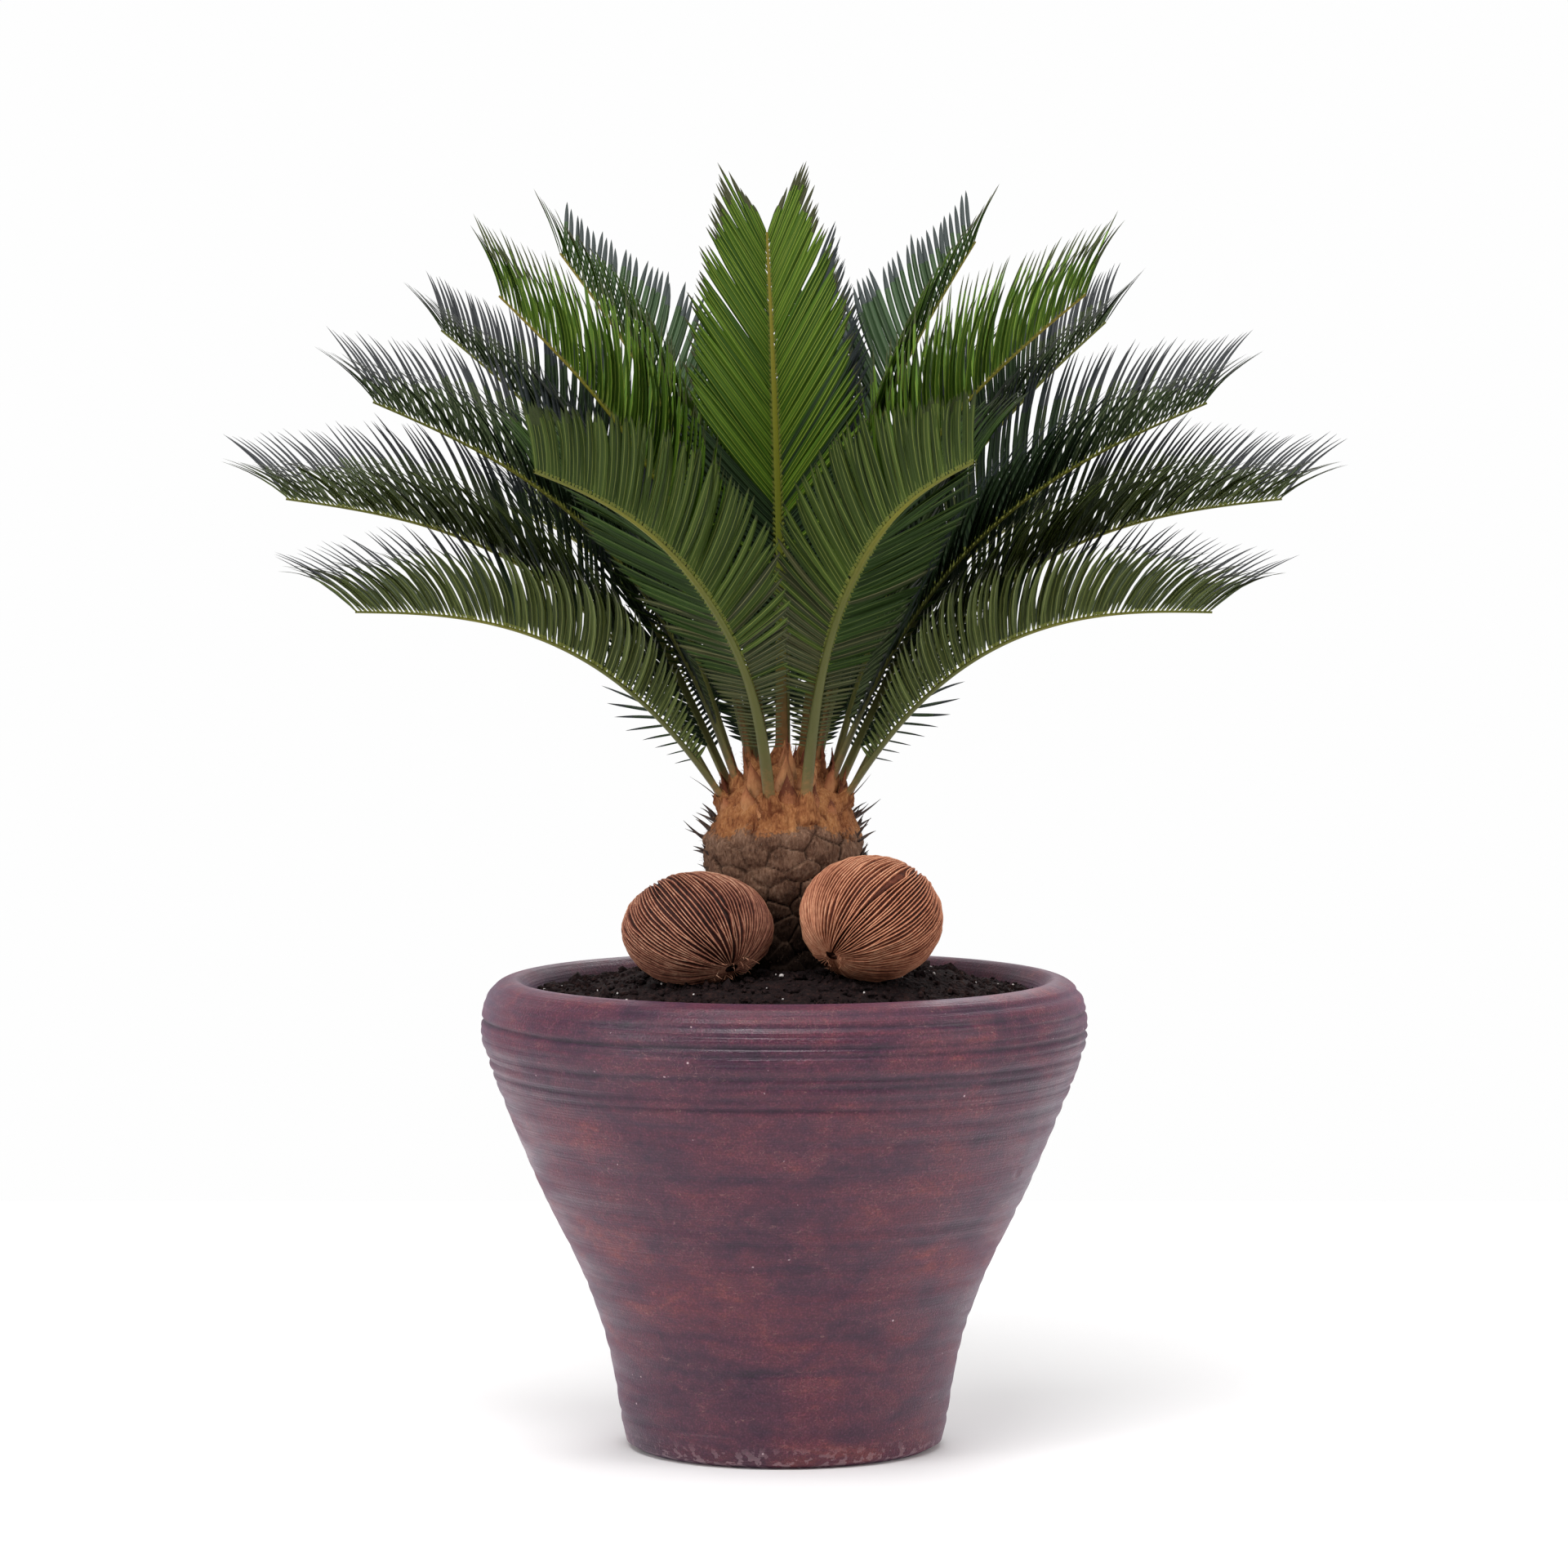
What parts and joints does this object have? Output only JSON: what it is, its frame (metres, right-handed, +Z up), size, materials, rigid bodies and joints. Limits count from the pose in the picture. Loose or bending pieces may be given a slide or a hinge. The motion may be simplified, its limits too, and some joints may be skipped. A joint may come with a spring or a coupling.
{
  "type": "potted sago palm",
  "caption": "Sago palm with a squat scaly trunk and a full crown of stiff arching feather fronds, in a wide turned terracotta pot of soil with fibrous husks on top.",
  "frame": {"origin": "centre of the pot's flat underside, on the pot's own turning axis", "axes": "+Z up along the pot's turning axis; -Y is the front, where the two husks lie; +X is to the right as seen from the front"},
  "size_m": [0.7239, 0.6361, 0.8567],
  "materials": {
    "terracotta": "stained terracotta with a soft satin sheen",
    "potting_soil": "dark damp crumbs",
    "trunk_scales": "woolly brown leaf bases, matt",
    "husk_fibre": "dry matt fibres",
    "foliage": "stiff leathery leaflets with a waxy sheen"
  },
  "bodies": {
    "root": {"pot": "terracotta", "soil": "potting_soil", "husk_left": "husk_fibre", "husk_right": "husk_fibre", "trunk": "trunk_scales", "frond_back_high": "foliage", "frond_back_low_1": "foliage", "frond_back_low_2": "foliage", "frond_back_low_3": "foliage", "frond_back_low_4": "foliage", "frond_back_mid_1": "foliage", "frond_back_mid_2": "foliage", "frond_back_mid_3": "foliage", "frond_centre": "foliage", "frond_front_left": "foliage", "frond_front_right": "foliage", "frond_left_1": "foliage", "frond_left_2": "foliage", "frond_left_3": "foliage", "frond_left_4": "foliage", "frond_left_5": "foliage", "frond_left_6": "foliage", "frond_right_1": "foliage", "frond_right_2": "foliage", "frond_right_3": "foliage", "frond_right_4": "foliage", "frond_right_5": "foliage", "frond_right_6": "foliage"}
  },
  "joints": []
}
